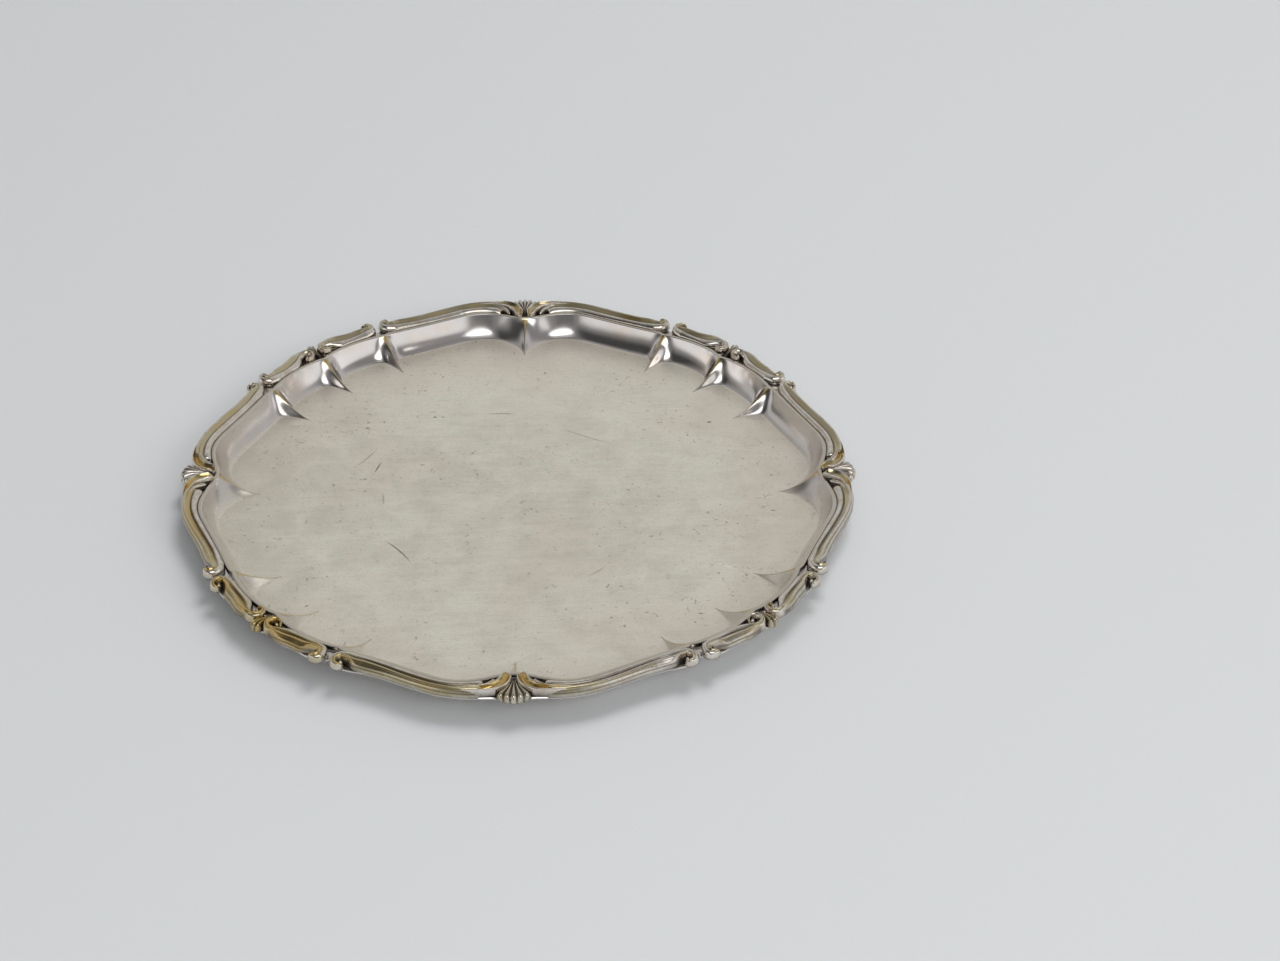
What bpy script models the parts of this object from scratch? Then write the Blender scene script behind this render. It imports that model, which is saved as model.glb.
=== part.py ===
"""Round plated tray: a pressed sheet with a crimped booge, and a border of cast scrolls, shells and buds.

The tray lies on Z = 0 with its centre on the Z axis. Its pattern repeats each quarter turn, and each quarter is
mirrored about its shell. Sizes are in metres. A share is a fraction of the size that its comment names.
"""

import math

import bmesh
import bpy
from mathutils import Matrix, Vector

MM = 0.001

# Plan: the pattern from one shell (share 0) to the next bud (share 1), an eighth of a turn
QUARTERS = 4
EIGHTH_TURN = math.pi / QUARTERS
BREAK_ANGLE = math.radians(30.5)

# Pressed sheet
SHEET_THICKNESS = 1.2 * MM
RIM_RADIUS = 138.5 * MM
RIM_SWING = 3.4 * MM
RIM_HEIGHT = 12.1 * MM
BOOGE_REACH = 9.6 * MM
CRIMP_TIP_RADIUS = 117.6 * MM
SHELL_CRIMP_HALF_WIDTH = 15 * MM
SMALL_CRIMP_HALF_WIDTH = 9 * MM
WELL_RING_RADIUS = 113 * MM
FILLET_WIDTH = 1.9 * MM
FILLET_RISE = 0.3 * MM
FILLET_DROP = 1.55 * MM
FLANGE_REACH = 12.4 * MM
FLANGE_EDGE_ROUND = 0.35 * MM
# The booge is a cove that follows this power of the distance from its foot
COVE_POWER = 2.5

# Border mounts
CLEARANCE = 0.3 * MM
OVERHANG = 0.8 * MM
RELIEF = 4.4 * MM
CURL_RADIUS = 5.5 * MM
SHELL_OVERHANG = 1.5 * MM
SHELL_HALF_WIDTH = 6.9 * MM
SHELL_RISE = 4.2 * MM
BUD_OVERHANG = 1.7 * MM
BUD_HALF_WIDTH = 2.8 * MM
BUD_RISE = 3.9 * MM
BUD_ROOM = 0.7 * MM
RIB_DEPTH = 0.9 * MM
FAN_EDGE = 0.7 * MM
FAN_START = 1.1 * MM

# Rim line: place between shell and break, or break and bud, and swing out from RIM_RADIUS as a share of RIM_SWING
RIM_LONG_SHARES = (
    (0.0, -1.0), (0.08, -0.66), (0.16, 0.0), (0.25, 0.6), (0.33, 0.8), (0.41, 0.66), (0.5, 0.28),
    (0.6, -0.06), (0.7, -0.28), (0.8, -0.36), (0.9, -0.28), (0.97, -0.2), (1.0, -0.34),
)
RIM_SHORT_SHARES = (
    (0.0, -0.34), (0.06, -0.2), (0.15, -0.06), (0.3, 0.1), (0.5, 0.18), (0.7, 0.12), (0.85, -0.02),
    (0.94, -0.18), (1.0, -0.33),
)

# Flange outline: the same places, and reach out from RIM_RADIUS as a share of FLANGE_REACH
OUTLINE_LONG_SHARES = (
    (0.0, 1.0), (0.05, 0.95), (0.09, 0.83), (0.16, 0.85), (0.26, 0.9), (0.39, 0.87), (0.52, 0.74),
    (0.66, 0.61), (0.79, 0.6), (0.87, 0.7), (0.93, 0.73), (0.97, 0.65), (1.0, 0.52),
)
OUTLINE_SHORT_SHARES = (
    (0.0, 0.52), (0.06, 0.66), (0.14, 0.76), (0.26, 0.79), (0.45, 0.77), (0.66, 0.84), (0.86, 0.77),
    (0.94, 0.82), (1.0, 0.88),
)

# Columns of the pressed sheet between shell and break, and between break and bud
COLUMN_LONG_SHARES = (0.05, 0.1, 0.17, 0.25, 0.34, 0.43, 0.52, 0.61, 0.7, 0.79, 0.87, 0.93, 0.97, 1.0)
COLUMN_SHORT_SHARES = (0.05, 0.12, 0.22, 0.34, 0.5, 0.66, 0.78, 0.88, 0.95, 1.0)

# Rows of the booge, as shares of its reach inwards from the rim line
BOOGE_TOP_SHARES = (1.0, 0.7, 0.46, 0.26, 0.11)
BOOGE_UNDER_SHARES = (1.0, 0.66, 0.36, 0.14)

# Cross-section of a moulding: place from the crest (0) to the fillet side (1), and height as a share of the crest's
BODY_INNER_SHARES = ((1.0, 0.3), (0.84, 0.62), (0.58, 0.74), (0.42, 0.66), (0.14, 0.93))
ROPE_INNER_SHARES = ((1.0, 0.15), (0.86, 0.55), (0.62, 0.83), (0.4, 0.95), (0.14, 1.0))
PETAL_INNER_SHARES = ((1.0, 0.25), (0.9, 0.7), (0.66, 0.44), (0.36, 0.46), (0.12, 0.94))
# The same from the crest to the outer side
BODY_OUTER_SHARES = ((0.3, 0.84), (0.72, 0.6), (1.0, 0.16))
ROPE_OUTER_SHARES = ((0.35, 0.9), (0.75, 0.62), (1.0, 0.1))

# Stations of the long scroll, from the petal beside the shell to the neck of the curl at the break. Each has the
# fillet side, the crest and the outer side as (place between shell and break, place between fillet and outline), then
# the crest's height as a share of RELIEF, and how far the section is a plain rope and how far a hollow petal
LONG_STATION_SHARES = (
    ((0.056, 0.0), (0.034, 0.02), (0.019, 0.07), 0.5, 1.0, 0.6),
    ((0.092, 0.0), (0.044, 0.17), (0.025, 0.23), 0.72, 0.8, 1.0),
    ((0.128, 0.0), (0.063, 0.43), (0.039, 0.48), 0.88, 0.5, 1.0),
    ((0.158, 0.0), (0.098, 0.66), (0.07, 0.75), 0.98, 0.3, 0.7),
    ((0.19, 0.0), (0.154, 0.79), (0.128, 0.97), 1.03, 0.1, 0.3),
    ((0.262, 0.0), (0.262, 0.77), (0.262, 1.0), 1.0, 0.0, 0.0),
    ((0.36, 0.0), (0.36, 0.76), (0.36, 1.0), 0.98, 0.0, 0.0),
    ((0.475, 0.0), (0.475, 0.76), (0.475, 1.0), 0.95, 0.0, 0.0),
    ((0.59, 0.0), (0.59, 0.73), (0.59, 1.0), 0.96, 0.0, 0.0),
    ((0.705, 0.0), (0.705, 0.66), (0.705, 1.0), 1.0, 0.0, 0.0),
    ((0.815, 0.0), (0.812, 0.62), (0.808, 0.98), 1.02, 0.15, 0.0),
    ((0.87, 0.0), (0.864, 0.6), (0.858, 0.84), 1.04, 0.4, 0.0),
    ((0.903, 0.0), (0.896, 0.53), (0.89, 0.68), 1.05, 0.7, 0.0),
)
LONG_EYE_SHARES = (0.92, 0.8)

# Stations of the short scroll between its two curls, and the eyes that the curls turn about
SHORT_STATION_SHARES = (
    ((0.225, 0.0), (0.24, 0.56), (0.25, 0.71), 1.05, 0.7, 0.0),
    ((0.29, 0.0), (0.3, 0.58), (0.31, 0.87), 1.03, 0.4, 0.0),
    ((0.385, 0.0), (0.39, 0.61), (0.395, 0.99), 1.0, 0.1, 0.0),
    ((0.48, 0.0), (0.485, 0.65), (0.49, 1.0), 0.98, 0.0, 0.0),
    ((0.58, 0.0), (0.585, 0.72), (0.588, 1.0), 1.0, 0.1, 0.0),
    ((0.668, 0.1), (0.678, 0.78), (0.684, 1.0), 1.02, 0.4, 0.0),
    ((0.746, 0.36), (0.758, 0.82), (0.766, 1.0), 1.03, 0.8, 0.0),
)
SHORT_BREAK_EYE_SHARES = (0.169, 0.83)
SHORT_BUD_EYE_ACROSS_SHARE = 0.35

# Stations of the curl at a break, which turns outwards round its eye: how far it has turned as a share of a full turn,
# its outside, crest and inside as shares of CURL_RADIUS, and the crest's height as a share of RELIEF
BREAK_CURL_SHARES = (
    (0.07, 1.15, 0.47, 0.26, 1.06),
    (0.16, 1.03, 0.45, 0.25, 1.07),
    (0.25, 0.95, 0.43, 0.24, 1.06),
    (0.34, 0.81, 0.4, 0.22, 1.0),
    (0.44, 0.62, 0.36, 0.19, 0.92),
    (0.55, 0.49, 0.31, 0.16, 0.8),
    (0.66, 0.38, 0.26, 0.14, 0.58),
)

# The same for the curl at a bud, which turns inwards
BUD_CURL_SHARES = (
    (0.03, 1.08, 0.72, 0.34, 1.04),
    (0.12, 1.02, 0.7, 0.34, 1.06),
    (0.22, 0.93, 0.63, 0.31, 1.05),
    (0.32, 0.77, 0.53, 0.27, 1.0),
    (0.43, 0.59, 0.41, 0.22, 0.92),
    (0.55, 0.46, 0.31, 0.17, 0.8),
    (0.66, 0.36, 0.25, 0.14, 0.58),
)

# Stations of a fan, from its foot at the fillet to its lip: place along its length, half width, rise, and depth of
# the grooves between its ribs as a share of RIB_DEPTH
FAN_STATION_SHARES = (
    (0.0, 0.13, 0.3, 0.1),
    (0.18, 0.2, 0.62, 0.5),
    (0.4, 0.34, 0.84, 0.8),
    (0.62, 0.6, 0.97, 1.0),
    (0.8, 0.86, 1.0, 1.1),
    (0.92, 1.0, 0.86, 1.1),
    (1.0, 1.0, 0.45, 0.9),
)
FAN_LIP_CURVE_SHARE = 0.2
FAN_CROWN_SHARE = 0.22

SHELL_RIBS = 5
BUD_RIBS = 3

QUARTER_NAMES = ("right", "back", "left", "front")


def smooth_through(points, place):
    """Value at a place of the smooth curve through hand-set points, flat at its two ends."""
    for start, (here, there) in enumerate(zip(points, points[1:])):
        if place > there[0] and there is not points[-1]:
            continue
        span = there[0] - here[0]
        share = min(max((place - here[0]) / span, 0.0), 1.0)
        before = slope_at(points, start) * span
        after = slope_at(points, start + 1) * span
        cube = 2 * share**3 - 3 * share**2 + 1
        return (
            here[1] * cube
            + there[1] * (1 - cube)
            + before * (share**3 - 2 * share**2 + share)
            + after * (share**3 - share**2)
        )
    return points[-1][1]


def slope_at(points, index):
    if index in (0, len(points) - 1):
        return 0.0
    before, after = points[index - 1], points[index + 1]
    return (after[1] - before[1]) / (after[0] - before[0])


def folded(angle):
    """The angle from the nearest shell, between 0 and an eighth of a turn."""
    turn = 2 * EIGHTH_TURN
    return abs((angle + EIGHTH_TURN) % turn - EIGHTH_TURN)


def along_eighth(angle, long_points, short_points):
    """Share that a pair of curves has at an angle, the first up to the break and the second up to the bud."""
    place = folded(angle)
    if place <= BREAK_ANGLE:
        return smooth_through(long_points, place / BREAK_ANGLE)
    return smooth_through(short_points, (place - BREAK_ANGLE) / (EIGHTH_TURN - BREAK_ANGLE))


def rim_line(angle):
    return RIM_RADIUS + RIM_SWING * along_eighth(angle, RIM_LONG_SHARES, RIM_SHORT_SHARES)


def flange_outline(angle):
    return RIM_RADIUS + FLANGE_REACH * along_eighth(angle, OUTLINE_LONG_SHARES, OUTLINE_SHORT_SHARES)


def flange_top():
    return RIM_HEIGHT - FILLET_DROP


def seat_height():
    """Height of the mounts' undersides, just clear of the flange."""
    return flange_top() + CLEARANCE


def crimp_pinch(angle):
    """How far the booge is drawn in at an angle: 1 on a crimp, falling to 0 in the lobes between."""
    place = folded(angle)
    pinch = 0.0
    crimps = (
        (0.0, SHELL_CRIMP_HALF_WIDTH),
        (BREAK_ANGLE, SMALL_CRIMP_HALF_WIDTH),
        (EIGHTH_TURN, SMALL_CRIMP_HALF_WIDTH),
    )
    for centre, half_width in crimps:
        away = abs(place - centre) * CRIMP_TIP_RADIUS / half_width
        pinch = max(pinch, max(0.0, 1.0 - away) ** 2)
    return pinch


def booge_reach(angle):
    """Reach of the booge inwards from the rim line, longest on a crimp."""
    longest = rim_line(angle) - CRIMP_TIP_RADIUS
    return BOOGE_REACH + (longest - BOOGE_REACH) * crimp_pinch(angle)


def pressed_radius(angle, radius):
    """Where the press takes a point of the plain turned dish."""
    well_edge = RIM_RADIUS - BOOGE_REACH
    rim = rim_line(angle)
    fillet_foot = RIM_RADIUS + FILLET_WIDTH
    if radius <= WELL_RING_RADIUS:
        return radius
    if radius <= well_edge:
        share = (radius - WELL_RING_RADIUS) / (well_edge - WELL_RING_RADIUS)
        return WELL_RING_RADIUS + share * (rim - booge_reach(angle) - WELL_RING_RADIUS)
    if radius <= RIM_RADIUS:
        return rim - (RIM_RADIUS - radius) / BOOGE_REACH * booge_reach(angle)
    if radius <= fillet_foot:
        return rim + radius - RIM_RADIUS
    share = (radius - fillet_foot) / (RIM_RADIUS + FLANGE_REACH - fillet_foot)
    return rim + FILLET_WIDTH + share * (flange_outline(angle) - rim - FILLET_WIDTH)


def booge_height(share):
    """Height of the booge's upper face at a share of its reach: steep at the rim, level at the well."""
    return SHEET_THICKNESS + (RIM_HEIGHT - SHEET_THICKNESS) * (1 - share) ** COVE_POWER


def booge_under(share):
    """Point of the booge's lower face, one sheet thickness square to the upper face."""
    average = (RIM_HEIGHT - SHEET_THICKNESS) / BOOGE_REACH
    steepness = COVE_POWER * average * (1 - share) ** (COVE_POWER - 1)
    length = math.hypot(1.0, steepness)
    radius = RIM_RADIUS - BOOGE_REACH * share + SHEET_THICKNESS * steepness / length
    return radius, booge_height(share) - SHEET_THICKNESS / length


def sheet_profile():
    """Section of the plain turned dish, from the centre out along the top and back along the underside."""
    edge = RIM_RADIUS + FLANGE_REACH
    top = [(0.0, SHEET_THICKNESS), (WELL_RING_RADIUS, SHEET_THICKNESS)]
    top += [(RIM_RADIUS - BOOGE_REACH * share, booge_height(share)) for share in BOOGE_TOP_SHARES]
    top += [
        (RIM_RADIUS, RIM_HEIGHT),
        (RIM_RADIUS + FILLET_WIDTH / 2, RIM_HEIGHT + FILLET_RISE),
        (RIM_RADIUS + FILLET_WIDTH, flange_top()),
        (edge - FLANGE_EDGE_ROUND, flange_top()),
        (edge, flange_top() - FLANGE_EDGE_ROUND),
    ]
    under = [booge_under(share) for share in BOOGE_UNDER_SHARES]
    flange_under = flange_top() - SHEET_THICKNESS
    corner = RIM_RADIUS + FILLET_WIDTH / 2
    under = under + [(corner, flange_under), (edge, flange_under)]
    return top + under[::-1] + [(WELL_RING_RADIUS, 0.0), (0.0, 0.0)]


def column_angles():
    """Angles of the sheet's columns over an eighth of a turn, closest together at the crimps and breaks."""
    long_part = [share * BREAK_ANGLE for share in COLUMN_LONG_SHARES]
    short_part = [
        BREAK_ANGLE + share * (EIGHTH_TURN - BREAK_ANGLE) for share in COLUMN_SHORT_SHARES
    ]
    return [0.0] + long_part + short_part


def spread_angle(step, angles):
    """Angle of the column that the even spin made at this step."""
    per_eighth = len(angles) - 1
    turn = 2 * per_eighth
    quarter, place = divmod(step, turn)
    centre = quarter * 2 * EIGHTH_TURN
    if place <= per_eighth:
        return centre + angles[place]
    return centre + 2 * EIGHTH_TURN - angles[turn - place]


def tray_sheet_mesh():
    """The sheet, turned as a plain dish and then pressed into lobes and crimps."""
    angles = column_angles()
    steps = 2 * (len(angles) - 1) * QUARTERS
    bm = bmesh.new()
    points = [bm.verts.new((radius, 0.0, height)) for radius, height in sheet_profile()]
    edges = [bm.edges.new(pair) for pair in zip(points, points[1:])]
    bmesh.ops.spin(
        bm,
        geom=points + edges,
        cent=(0, 0, 0),
        axis=(0, 0, 1),
        angle=2 * math.pi,
        steps=steps,
        use_merge=True,
    )
    bmesh.ops.remove_doubles(bm, verts=bm.verts, dist=SHEET_THICKNESS / 100)
    for vert in bm.verts:
        radius = math.hypot(vert.co.x, vert.co.y)
        step = round(math.atan2(vert.co.y, vert.co.x) / (2 * math.pi) * steps) % steps
        angle = spread_angle(step, angles)
        pressed = pressed_radius(angle, radius)
        vert.co.x = pressed * math.cos(angle)
        vert.co.y = pressed * math.sin(angle)
    bmesh.ops.recalc_face_normals(bm, faces=bm.faces)
    return finished_mesh(bm, "tray_sheet")


def finished_mesh(bm, name):
    mesh = bpy.data.meshes.new(name)
    bm.to_mesh(mesh)
    bm.free()
    mesh.shade_smooth()
    mesh.set_sharp_from_angle(angle=math.radians(40))
    return mesh


def seat_point(angle, share, height):
    """Point over the flange, between the fillet (share 0) and the outline with its overhang (share 1)."""
    inner = rim_line(angle) + FILLET_WIDTH + CLEARANCE
    outer = flange_outline(angle) + OVERHANG
    radius = inner + share * (outer - inner)
    return Vector((radius * math.cos(angle), radius * math.sin(angle), seat_height() + height))


def mixed(first, second, share):
    return [
        (a[0] + share * (b[0] - a[0]), a[1] + share * (b[1] - a[1])) for a, b in zip(first, second)
    ]


def moulding_section(sides, height, rope, petal):
    """Closed section of a scroll: up its fillet side, over its crest, and down its outer side."""
    inner, crest, outer = sides
    rise = Vector((0, 0, RELIEF * height))
    section = [inner]
    plain = mixed(BODY_INNER_SHARES, ROPE_INNER_SHARES, rope)
    for place, share in mixed(plain, PETAL_INNER_SHARES, petal):
        section.append(crest.lerp(inner, place) + rise * share)
    section.append(crest + rise)
    for place, share in mixed(BODY_OUTER_SHARES, ROPE_OUTER_SHARES, rope):
        section.append(crest.lerp(outer, place) + rise * share)
    return section + [outer]


def body_sections(stations, first_angle, last_angle):
    """Sections along the rim, between the angles at places 0 and 1."""
    sections = []
    for *places, height, rope, petal in stations:
        sides = [
            seat_point(first_angle + along * (last_angle - first_angle), across, 0.0)
            for along, across in places
        ]
        sections.append(moulding_section(sides, height, rope, petal))
    return sections


def curl_sections(stations, eye_angle, eye_share, onward, outward):
    """Sections round an eye, for a curl that sets off forwards (onward 1) and turns outwards (outward 1)."""
    eye = seat_point(eye_angle, eye_share, 0.0)
    radial = Vector((math.cos(eye_angle), math.sin(eye_angle), 0.0))
    tangent = Vector((-math.sin(eye_angle), math.cos(eye_angle), 0.0))
    sections = []
    for turn, *reaches, height in stations:
        spin = turn * 2 * math.pi
        away = onward * math.sin(spin) * tangent - outward * math.cos(spin) * radial
        sides = [eye + CURL_RADIUS * reach * away for reach in reaches]
        if outward < 0:
            sides.reverse()
        sections.append(moulding_section(sides, height, 1.0, 0.0))
    return sections


def loft(sections, name):
    """Closed solid through sections that all have the same number of points."""
    bm = bmesh.new()
    rings = []
    for section in sections:
        verts = [bm.verts.new(point) for point in section]
        rings.append([bm.edges.new(pair) for pair in zip(verts, verts[1:] + verts[:1])])
    for here, there in zip(rings, rings[1:]):
        bmesh.ops.bridge_loops(bm, edges=here + there)
    for ring in (rings[0], rings[-1]):
        bmesh.ops.edgeloop_fill(bm, edges=ring)
    bmesh.ops.recalc_face_normals(bm, faces=bm.faces)
    return finished_mesh(bm, name)


def long_scroll_mesh():
    along, across = LONG_EYE_SHARES
    body = body_sections(LONG_STATION_SHARES, 0.0, BREAK_ANGLE)
    curl = curl_sections(BREAK_CURL_SHARES, along * BREAK_ANGLE, across, 1, 1)
    return loft(body + curl, "long_scroll")


def short_place(share):
    """Angle of a place between the break and the bud."""
    return BREAK_ANGLE + share * (EIGHTH_TURN - BREAK_ANGLE)


def bud_eye_angle():
    """Angle of the eye of the curl beside a bud, which leaves room for the bud's stem."""
    return EIGHTH_TURN - (CURL_RADIUS + BUD_ROOM) / RIM_RADIUS


def short_scroll_mesh():
    break_along, break_across = SHORT_BREAK_EYE_SHARES
    at_break = curl_sections(BREAK_CURL_SHARES, short_place(break_along), break_across, -1, 1)
    body = body_sections(SHORT_STATION_SHARES, BREAK_ANGLE, EIGHTH_TURN)
    at_bud = curl_sections(BUD_CURL_SHARES, bud_eye_angle(), SHORT_BUD_EYE_ACROSS_SHARE, 1, -1)
    return loft(at_break[::-1] + body + at_bud, "short_scroll")


def fan_section(station, angle, overhang, half_width, rise, ribs):
    """Section across a fan: a rib crest and a groove by turns, over a level underside."""
    along, width, up, groove = station
    start = rim_line(angle) + FILLET_WIDTH + CLEARANCE + FAN_START
    length = flange_outline(angle) + overhang - start
    across = 2 * ribs
    section = []
    for step in range(across + 1):
        side = 2 * step / across - 1
        on_rib = step % 2
        reach = along - FAN_LIP_CURVE_SHARE * along**3 * side**2
        crown = rise * up * (1 - FAN_CROWN_SHARE * side**2)
        height = max(crown - RIB_DEPTH * groove * (1 - on_rib), FAN_EDGE * up)
        section.append((start + length * reach, side * half_width * width, height))
    first, last = section[0], section[-1]
    section.append((last[0], last[1], 0.0))
    section.insert(0, (first[0], first[1], 0.0))
    turn = Matrix.Rotation(angle, 4, "Z")
    return [turn @ Vector((x, y, seat_height() + z)) for x, y, z in section]


def shell_mesh():
    sections = [
        fan_section(s, 0.0, SHELL_OVERHANG, SHELL_HALF_WIDTH, SHELL_RISE, SHELL_RIBS)
        for s in FAN_STATION_SHARES
    ]
    return loft(sections, "shell")


def bud_mesh():
    sections = [
        fan_section(s, EIGHTH_TURN, BUD_OVERHANG, BUD_HALF_WIDTH, BUD_RISE, BUD_RIBS)
        for s in FAN_STATION_SHARES
    ]
    return loft(sections, "bud")


def mirrored(mesh):
    """The same piece on the other side of its shell."""
    bm = bmesh.new()
    bm.from_mesh(mesh)
    bmesh.ops.scale(bm, vec=(1, -1, 1), verts=bm.verts)
    bmesh.ops.recalc_face_normals(bm, faces=bm.faces)
    return finished_mesh(bm, mesh.name + "_mirrored")


def plate(name, colour, roughness, metallic=1.0):
    material = bpy.data.materials.new(name)
    material.use_nodes = True
    shader = material.node_tree.nodes["Principled BSDF"]
    shader.inputs["Base Color"].default_value = (*colour, 1.0)
    shader.inputs["Roughness"].default_value = roughness
    shader.inputs["Metallic"].default_value = metallic
    material.diffuse_color = (*colour, 1.0)
    return material


def sheet_plate():
    return plate("sheet_plate", (0.62, 0.6, 0.54), 0.34)


def scroll_plate():
    return plate("scroll_plate", (0.66, 0.62, 0.5), 0.24)


def short_scroll_plate():
    return plate("short_scroll_plate", (0.64, 0.6, 0.48), 0.25)


def shell_plate():
    return plate("shell_plate", (0.58, 0.5, 0.3), 0.3)


def bud_plate():
    return plate("bud_plate", (0.56, 0.48, 0.3), 0.3)


def place(collection, centre, name, mesh, quarter):
    """A piece of the border, turned to its quarter of the tray about the centre."""
    piece = bpy.data.objects.new(name, mesh)
    piece.rotation_euler.z = quarter * 2 * EIGHTH_TURN
    piece.parent = centre
    collection.objects.link(piece)
    return piece


def add_sheet(collection, centre):
    mesh = tray_sheet_mesh()
    mesh.materials.append(sheet_plate())
    place(collection, centre, "tray_sheet", mesh, 0)


def add_scrolls(collection, centre, name, mesh, material):
    """Eight scrolls: one on each side of every shell, numbered round the tray."""
    mesh.materials.append(material)
    other = mirrored(mesh)
    other.materials.append(material)
    for quarter in range(QUARTERS):
        place(collection, centre, f"{name}_{2 * quarter + 1}", other, quarter)
        place(collection, centre, f"{name}_{2 * quarter + 2}", mesh, quarter)


def add_shells(collection, centre):
    mesh = shell_mesh()
    mesh.materials.append(shell_plate())
    for quarter, name in enumerate(QUARTER_NAMES):
        place(collection, centre, f"shell_{name}", mesh, quarter)


def add_buds(collection, centre):
    mesh = bud_mesh()
    mesh.materials.append(bud_plate())
    for quarter in range(QUARTERS):
        place(collection, centre, f"bud_{quarter + 1}", mesh, quarter)


def clear_scene():
    for thing in list(bpy.data.objects):
        bpy.data.objects.remove(thing, do_unlink=True)


def main():
    clear_scene()
    collection = bpy.data.collections.new("round_tray")
    bpy.context.scene.collection.children.link(collection)
    centre = bpy.data.objects.new("tray_centre", None)
    collection.objects.link(centre)
    add_sheet(collection, centre)
    add_scrolls(collection, centre, "long_scroll", long_scroll_mesh(), scroll_plate())
    add_scrolls(collection, centre, "short_scroll", short_scroll_mesh(), short_scroll_plate())
    add_shells(collection, centre)
    add_buds(collection, centre)


if __name__ == "__main__":
    main()
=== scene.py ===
"""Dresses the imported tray, its sheet, scrolls, shells and buds, in worn silver plate, on a pale floor."""

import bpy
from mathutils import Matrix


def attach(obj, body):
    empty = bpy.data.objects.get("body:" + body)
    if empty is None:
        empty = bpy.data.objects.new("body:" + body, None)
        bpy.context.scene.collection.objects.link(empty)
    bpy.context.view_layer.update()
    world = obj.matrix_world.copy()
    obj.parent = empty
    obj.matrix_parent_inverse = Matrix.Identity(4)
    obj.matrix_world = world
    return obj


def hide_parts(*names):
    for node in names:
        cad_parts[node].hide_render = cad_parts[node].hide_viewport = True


bl_info = {
    "name": "Scroll-bordered tray",
    "version": (1, 0, 0),
    "blender": (4, 5, 0),
    "location": "3D View > Sidebar > Tray",
    "description": "Makes a round plated tray with a border of scrolls, shells and buds",
    "category": "Add Mesh",
}

import math

import bmesh
import bpy
from mathutils import Matrix, Vector

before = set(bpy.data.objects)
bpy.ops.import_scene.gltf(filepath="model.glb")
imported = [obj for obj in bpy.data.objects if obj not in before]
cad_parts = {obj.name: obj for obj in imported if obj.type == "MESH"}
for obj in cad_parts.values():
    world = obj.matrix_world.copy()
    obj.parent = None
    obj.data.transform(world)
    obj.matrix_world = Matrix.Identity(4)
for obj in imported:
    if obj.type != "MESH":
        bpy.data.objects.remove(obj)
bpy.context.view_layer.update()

MM = 0.001
QUARTERS = 4
EIGHTH_TURN = math.pi / QUARTERS
QUARTER_TURN = 2 * EIGHTH_TURN
BREAK_ANGLE = math.radians(30.5)
QUARTER_NAMES = ("right", "back", "left", "front")
BODY = "root"

# Rim line: place between shell and break, or break and bud, and swing out from the rim radius
RIM_LONG_SHARES = (
    (0.0, -1.0), (0.08, -0.66), (0.16, 0.0), (0.25, 0.6), (0.33, 0.8), (0.41, 0.66), (0.5, 0.28),
    (0.6, -0.06), (0.7, -0.28), (0.8, -0.36), (0.9, -0.28), (0.97, -0.2), (1.0, -0.34),
)
RIM_SHORT_SHARES = (
    (0.0, -0.34), (0.06, -0.2), (0.15, -0.06), (0.3, 0.1), (0.5, 0.18), (0.7, 0.12), (0.85, -0.02),
    (0.94, -0.18), (1.0, -0.33),
)

# Flange outline: the same places, and reach out from the rim radius as a share of the flange's
OUTLINE_LONG_SHARES = (
    (0.0, 1.0), (0.05, 0.95), (0.09, 0.83), (0.16, 0.85), (0.26, 0.9), (0.39, 0.87), (0.52, 0.74),
    (0.66, 0.61), (0.79, 0.6), (0.87, 0.7), (0.93, 0.73), (0.97, 0.65), (1.0, 0.52),
)
OUTLINE_SHORT_SHARES = (
    (0.0, 0.52), (0.06, 0.66), (0.14, 0.76), (0.26, 0.79), (0.45, 0.77), (0.66, 0.84), (0.86, 0.77),
    (0.94, 0.82), (1.0, 0.88),
)

# Section of the long and short bodies: place from the fillet side (-1) over the crest (0) to the outer
# side (1), height as a share of the crest's, how far the plate is worn to brass, and how much dirt lies
# there; on the lower half of the outer side this is partly painted shade
BODY_SECTION_SHARES = (
    (-1.0, 0.0, 0.0, 0.4), (-1.0, 0.2, 0.0, 0.3), (-0.985, 0.38, 0.1, 0.1), (-0.93, 0.54, 0.3, 0.0),
    (-0.84, 0.66, 0.1, 0.0), (-0.73, 0.73, 0.0, 0.0), (-0.63, 0.745, 0.2, 0.0), (-0.56, 0.71, 0.5, 0.3),
    (-0.51, 0.645, 0.7, 0.7), (-0.48, 0.58, 0.8, 1.0), (-0.45, 0.6, 0.9, 0.7), (-0.38, 0.675, 1.1, 0.1),
    (-0.28, 0.765, 1.2, 0.0), (-0.18, 0.865, 1.1, 0.1), (-0.09, 0.96, 0.9, 0.0), (0.0, 1.0, 0.7, 0.0),
    (0.12, 0.985, 0.7, 0.0), (0.24, 0.93, 0.9, 0.2), (0.33, 0.84, 1.1, 0.8), (0.42, 0.8, 0.8, 0.2),
    (0.55, 0.715, 0.5, 0.1), (0.68, 0.6, 0.7, 0.3), (0.76, 0.48, 0.9, 0.9), (0.84, 0.44, 0.6, 0.3),
    (0.94, 0.3, 0.5, 0.4), (1.0, 0.14, 0.3, 0.6), (1.0, 0.0, 0.0, 0.8),
)

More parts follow.
